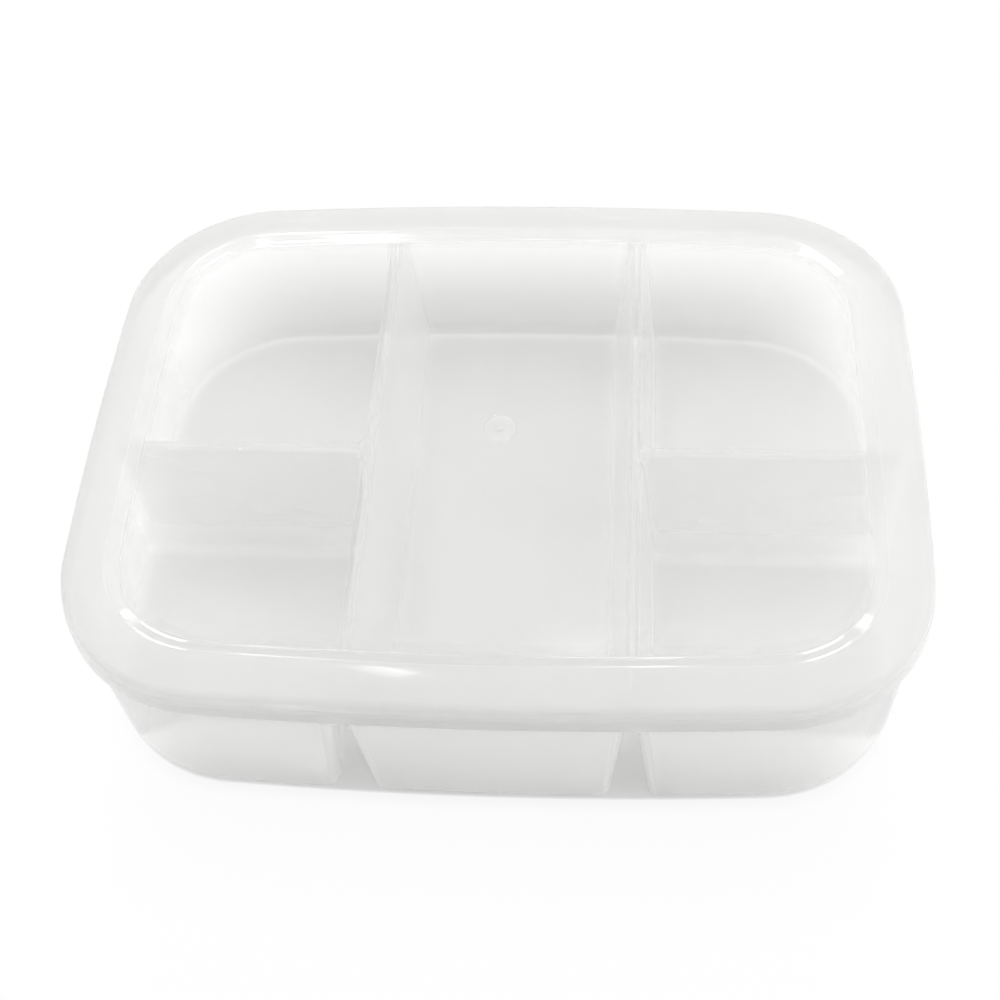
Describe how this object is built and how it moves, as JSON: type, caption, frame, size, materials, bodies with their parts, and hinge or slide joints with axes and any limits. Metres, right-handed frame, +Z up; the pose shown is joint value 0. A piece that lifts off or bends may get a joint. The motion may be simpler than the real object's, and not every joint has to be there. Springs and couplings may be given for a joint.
{
  "type": "mixing palette",
  "caption": "Deep rounded-rectangle paint mixing palette: translucent moulded tray with drafted wells and hollow dividers, and a snap-over lift-off lid.",
  "frame": {"origin": "on the table under the middle of the tray", "axes": "+X to the right along the long side, +Y to the back, +Z up out of the wells"},
  "size_m": [0.19, 0.1466, 0.0458],
  "materials": {
    "tray_plastic": "natural translucent polypropylene, satin moulded surface",
    "lid_plastic": "natural translucent polypropylene, thin and glossy"
  },
  "bodies": {
    "tray": {"tray": "tray_plastic"},
    "lid": {"lid": "lid_plastic"}
  },
  "joints": [
    {"name": "lid_lift", "type": "slide", "parent": "tray", "child": "lid", "axis": [0, 0, 1], "range_m": [0, 0.06]}
  ]
}
